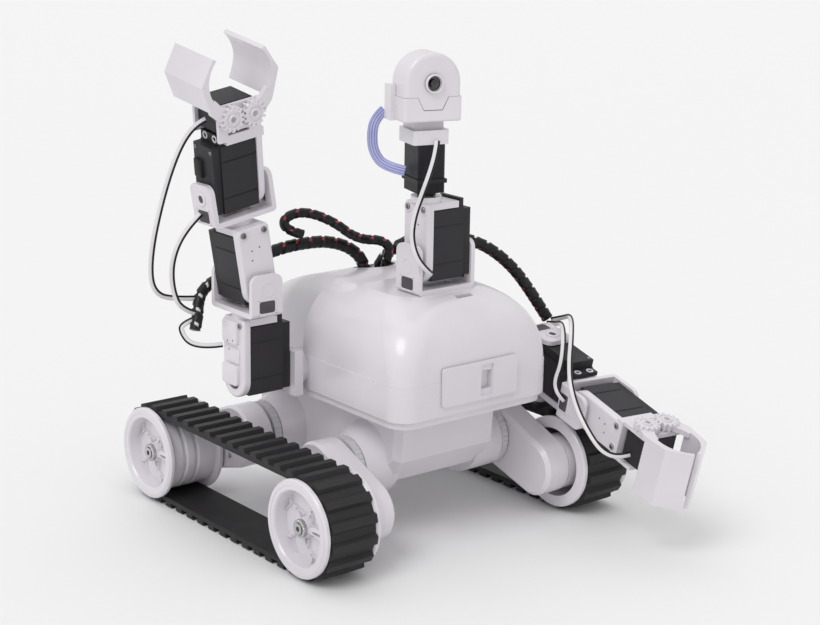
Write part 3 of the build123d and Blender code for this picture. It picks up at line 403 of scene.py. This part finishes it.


# servo case side plates: a framed panel, three dimples shown as dark discs of painted shade, and screws
case_bodies = [("right_shoulder", R_M0, "right_upper_arm"), ("right_elbow", R_M1, "right_forearm"), ("left_shoulder", L_M0, "left_upper_arm"),
               ("left_elbow", L_M1, "left_forearm"), ("head_tilt", H_M, "head_tilt"), ("right_hand_case", R_M2, "right_hand"), ("left_hand_case", L_M2, "left_hand")]
for nm, m, body in case_bodies:
    bm = bmesh.new()
    side = off(m, x=15.5) @ FACE_X
    # local X of the side plane runs down the module, local Y across it
    if "shoulder" in nm:
        # stepped blocks and a cap over the output disc
        rounded(bm, off(side, x=-28.5, y=-1.5), 14.0, 15.0, 2.0, 2.2, 0.8)
        rounded(bm, off(side, x=-14.5, y=1.5), 9.0, 11.0, 1.4, 0.8, 0.4)
        rounded(bm, off(side, x=-3.0, y=-1.5), 12.5, 15.5, 2.0, 2.2, 0.8)
    else:
        # the left elbow case faces the track, so its beads stay nearly flush
        bead = 0.08 if nm == "left_elbow" else 0.5
        ring(bm, off(side, x=-33.0, y=7.0), 2.2, 3.1, bead)
        ring(bm, off(side, x=-33.0, y=-7.0), 2.2, 3.1, bead)
    finish_mesh(nm + "_side_relief", bm, body, [M["gloss_white"]])
    bm = bmesh.new()
    for dx, dy in ((-33.2, 7.0), (-33.2, -7.0)):
        screw(bm, off(side, x=dx, y=dy, z=-0.95 if nm == "left_elbow" else 0.1), 0.0017)
    finish_mesh(nm + "_side_screws", bm, body, [M["screw_steel"]])
    # dark discs in the three dimples: painted shade
    bm = bmesh.new()
    for dx, dy in ((-24.0, 2.5), (-23.0, -2.8), (-17.5, -3.5)):
        lathe(bm, [(0.0005, -0.0002), (0.0005, 0.00005), (0.0004, 0.00005), (0, 0.00002)], off(side, x=dx, y=dy, z=2.2 if "shoulder" in nm and dx < -20 else (0.8 if "shoulder" in nm else 0.02)), 16)
    finish_mesh(nm + "_painted_dimple_shade", bm, body, [M["painted_recess_shade"]])
    # two white eyelets on the servo's black tab
    bm = bmesh.new()
    for y in (-4.6, 4.6):
        lathe(bm, [(0.00225, -0.0003), (0.00225, 0.0003), (0.0020, 0.00045), (0.0016, 0.00045), (0.00145, 0.0003), (0.00145, -0.0003)],
              off(m, x=-12.5, y=y, z=35.2) @ FACE_NX, 28)
    finish_mesh(nm + "_tab_eyelets", bm, body, [M["lead_white"]])
    # seams of the servo's three shells
    bm = bmesh.new()
    for z in (0.6, 22.5):
        rounded(bm, off(m, x=-0.75, y=-10.0, z=z) @ FACE_NY, 23.0, 0.8, 0.3, 0.22, 0.15)
        rounded(bm, off(m, x=-0.75, y=10.0, z=z) @ FACE_Y, 23.0, 0.8, 0.3, 0.22, 0.15)
    finish_mesh(nm + "_servo_seams", bm, body, [M["servo_black"]])
    bm = bmesh.new()
    for y in (-7.4, 7.4):
        for z in (-5.6, 29.0):
            screw(bm, off(m, x=-17.8, y=y, z=z) @ FACE_NX, 0.0012)
    finish_mesh(nm + "_servo_screws", bm, body, [M["screw_steel"]])

# bracket ears: embossed disc, window and rim, with painted shade in the window and the hole
for nm, m, body in (("right_elbow_bracket", R_B1, "right_upper_arm"), ("right_wrist_bracket", R_B2, "right_forearm"),
                    ("left_elbow_bracket", L_B1, "left_upper_arm"), ("left_wrist_bracket", L_B2, "left_forearm"), ("head_bracket", H_B, "chassis")):
    h = 29.0 if nm == "head_bracket" else 25.0
    bm = bmesh.new()
    for sgn, F in ((1, FACE_X), (-1, FACE_NX)):
        a = off(m, x=sgn * 21.0, z=16.5) @ F
        if sgn > 0:
            ring(bm, a, 3.9, 4.7, 0.28)
        else:
            ring(bm, a, 2.3, 4.2, 0.9)
        # raised frame round the window
        for dx, dy, w, h_ in ((10.3 + 4.1, 0, 1.0, 13.0), (10.3 - 4.1, 0, 1.0, 13.0), (10.3, 6.0, 9.2, 1.0), (10.3, -6.0, 9.2, 1.0)):
            rounded(bm, off(a, x=sgn * dx, y=dy), w, h_, 0.45, 0.3, 0.2)
    finish_mesh(nm + "_bosses", bm, body, [M["gloss_white"]])
    # dark patches: painted shade in each ear's window and in the hole of the minus-X ear
    bm = bmesh.new()
    for sgn, F in ((1, FACE_X), (-1, FACE_NX)):
        rounded(bm, off(m, x=sgn * 21.0, z=6.2) @ F, 7.0, 10.6, 1.4, 0.1, 0.06)
        if sgn < 0:
            lathe(bm, [(0.0023, -0.0002), (0.0023, 0.00025), (0.0018, 0.00022), (0, 0.00015)], off(m, x=-21.0, z=16.5) @ F, 28)
    finish_mesh(nm + "_painted_window_shade", bm, body, [M["painted_recess_shade"]])

# servo plugs on the wrist servos, and gear faces with bosses on the claws
for nm, m, body in (("right_wrist", R_M2, "right_hand"), ("left_wrist", L_M2, "left_hand")):
    bm = bmesh.new()
    rounded(bm, off(m, x=-17.8, y=4.5, z=17) @ FACE_NX, 11.0, 7.0, 0.8, 1.6, 0.4)
    finish_mesh(nm + "_servo_plug", bm, body, [M["servo_black"]])
for hand, m, close in (("right", R_M2, 0), ("left", L_M2, 22)):
    for s_, role in ((1, "drive"), (-1, "idle")):
        at = off(m, x=s_ * 7.25, y=-15.6, z=49.0) @ FACE_NY
        bm = bmesh.new()
        teeth, rows = 14, []
        phase = math.radians((180 if s_ > 0 else 180 / teeth) + s_ * close)
        prof = []
        for k in range(teeth):
            c = phase + 2 * math.pi * k / teeth
            for da, rad in ((-0.224, 5.9), (-0.145, 6.1), (-0.085, 7.75), (0.085, 7.75), (0.145, 6.1)):
                prof.append((c + da, rad))
        for z, inset in ((-0.2, 0.0), (1.0, 0.0), (1.5, 0.35)):
            rows.append([bm.verts.new(at @ (Vector(((rr - inset) * math.cos(an), (rr - inset) * math.sin(an), z)) / 1000)) for an, rr in prof])
        n = len(prof)
        rows.append([bm.verts.new(at @ (Vector((4.9 * math.cos(an), 4.9 * math.sin(an), 1.5)) / 1000)) for an, rr in prof])
        rows.append([bm.verts.new(at @ (Vector((4.6 * math.cos(an), 4.6 * math.sin(an), 0.9)) / 1000)) for an, rr in prof])
        rows.append([bm.verts.new(at @ (Vector((3.0 * math.cos(an), 3.0 * math.sin(an), 0.9)) / 1000)) for an, rr in prof])
        for p, q in zip(rows, rows[1:]):
            for j in range(n):
                bm.faces.new((p[j], p[(j + 1) % n], q[(j + 1) % n], q[j]))
        ring(bm, at, 1.6, 3.2, 2.1)
        finish_mesh(f"{hand}_{role}_gear_face", bm, f"{hand}_{role}_claw", [M["gloss_white"]])
        bm = bmesh.new()
        lathe(bm, [(0.0017, 0.0), (0.0017, 0.0014), (0.0012, 0.0013), (0, 0.0012)], at, 24)
        finish_mesh(f"{hand}_{role}_gear_pin", bm, f"{hand}_{role}_claw", [M["ring_grey"]])

# wheels: splined steel hub with a round bore, and curved spoke ribs
for e, sy in (("front", -1), ("rear", 1)):
    for s, sx in (("right", -1), ("left", 1)):
        m = frame_of(sx * 115.8, sy * 79.8, 30.57, ("Z", 0 if sx > 0 else 180))
        body = f"{e}_{s}_wheel_body"
        bm = bmesh.new()
        seg = 48
        for x0, x1, rr0 in ((-4.3, -1.6, 5.4),):
            a = off(m, x=0) @ FACE_X
            rows = []
            for z, k in ((x0, 1.0), (x1 - 0.4, 1.0), (x1, 0.92)):
                row = []
                for j in range(seg * 2):
                    ang = math.pi * j / seg
                    tooth = 0.30 if (j // 2) % 2 else 0.0
                    rad = (rr0 * k - tooth)
                    row.append(bm.verts.new(a @ (Vector((rad * math.cos(ang), rad * math.sin(ang), z)) / 1000)))
                rows.append(row)
            n = seg * 2
            for p, q in zip(rows, rows[1:]):
                for j in range(n):
                    bm.faces.new((p[j], p[(j + 1) % n], q[(j + 1) % n], q[j]))
            inner = []
            for z, hx in ((x1, 3.7), (x1 - 1.2, 3.6)):
                row = []
                for j in range(n):
                    ang = math.pi * j / seg
                    row.append(bm.verts.new(a @ (Vector((hx * math.cos(ang), hx * math.sin(ang), z)) / 1000)))
                inner.append(row)
            for p, q in ((rows[-1], inner[0]), (inner[0], inner[1])):
                for j in range(n):
                    bm.faces.new((p[j], p[(j + 1) % n], q[(j + 1) % n], q[j]))
        finish_mesh(f"{e}_{s}_hub_sleeve", bm, body, [M["axle_steel"]])
        bm = bmesh.new()
        a = off(m, x=0) @ FACE_X
        for k in range(5):
            for side in (-1, 1):
                base = math.radians(72 * k + 16 * side)
                prev = None
                steps = 12
                for i in range(steps + 1):
                    t = i / steps
                    rad = 7.2 + t * 13.6
                    ang = base + side * 0.32 * math.sin(math.pi * t) * -1 + 0.5 * t
                    wd = 0.62
                    d = Vector((math.cos(ang), math.sin(ang), 0)); n_ = Vector((-d.y, d.x, 0))
                    c = d * rad
                    quad = [bm.verts.new(a @ (v / 1000)) for v in (c - n_ * wd + Vector((0, 0, -8.6)), c - n_ * wd * 0.6 + Vector((0, 0, -6.7)),
                                                                  c + n_ * wd * 0.6 + Vector((0, 0, -6.7)), c + n_ * wd + Vector((0, 0, -8.6)))]
                    if prev:
                        for j in range(4):
                            bm.faces.new((prev[j], prev[(j + 1) % 4], quad[(j + 1) % 4], quad[j]))
                    else:
                        bm.faces.new(quad)
                    prev = quad
                bm.faces.new(list(reversed(prev)))
        finish_mesh(f"{e}_{s}_spoke_ribs", bm, body, [M["gloss_white"]])
        bm = bmesh.new()
        ring(bm, off(m, x=0) @ FACE_X, 25.0, 26.6, 0.35)
        finish_mesh(f"{e}_{s}_rim_bead", bm, body, [M["gloss_white"]])

# camera head: lens bezel and glass
lens_at = off(H_PAN, x=-3, y=-16.0, z=66.3) @ FACE_NY
bm = bmesh.new()
ring(bm, off(lens_at, z=-0.6), 4.4, 5.5, 0.9)
finish_mesh("lens_bezel", bm, "head_pan", [M["gloss_white"]])
bm = bmesh.new()
lathe(bm, [(0.0024, -0.0002), (0.0024, 0.0002), (0.0018, 0.00062), (0.001, 0.00085), (0, 0.0009)], off(lens_at, z=-0.8), 32)
finish_mesh("lens_glass", bm, "head_pan", [M["lens_black"]])

# ------------------------------------------------------- stage and lighting
fm, nt, b = new_mat("floor_paper")
no = nt.nodes.new("ShaderNodeTexNoise"); no.inputs["Scale"].default_value = 3
rp = nt.nodes.new("ShaderNodeValToRGB")
rp.color_ramp.elements[0].color = (0.85, 0.85, 0.85, 1)
rp.color_ramp.elements[1].color = (0.88, 0.88, 0.88, 1)
nt.links.new(no.outputs["Fac"], rp.inputs["Fac"]); nt.links.new(rp.outputs["Color"], b.inputs["Base Color"])
b.inputs["Roughness"].default_value = 0.9
bm = bmesh.new()
bmesh.ops.create_grid(bm, x_segments=8, y_segments=8, size=8)
me = bpy.data.meshes.new("floor"); bm.to_mesh(me); bm.free()
me.materials.append(fm)
floor = bpy.data.objects.new("floor", me)
floor.location.z = -0.0006
scene.collection.objects.link(floor)

world = scene.world or bpy.data.worlds.new("world")
scene.world = world
world.use_nodes = True
bg = world.node_tree.nodes.get("Background") or world.node_tree.nodes.new("ShaderNodeBackground")
bg.inputs["Color"].default_value = (1, 1, 1, 1)
bg.inputs["Strength"].default_value = 0.72


def sun(name, towards, strength, angle):
    d = bpy.data.lights.new(name, "SUN")
    d.energy, d.angle = strength, math.radians(angle)
    o = bpy.data.objects.new(name, d)
    o.rotation_euler = (-Vector(towards)).to_track_quat("-Z", "Y").to_euler()
    scene.collection.objects.link(o)


sun("key", (-1.0, -0.35, 1.3), 0.95, 30)
sun("top", (0.3, 0.5, 1.5), 0.35, 60)
scene.view_settings.view_transform = "Standard"
scene.view_settings.look = "None"
scene.view_settings.exposure = 0
scene.view_settings.gamma = 1
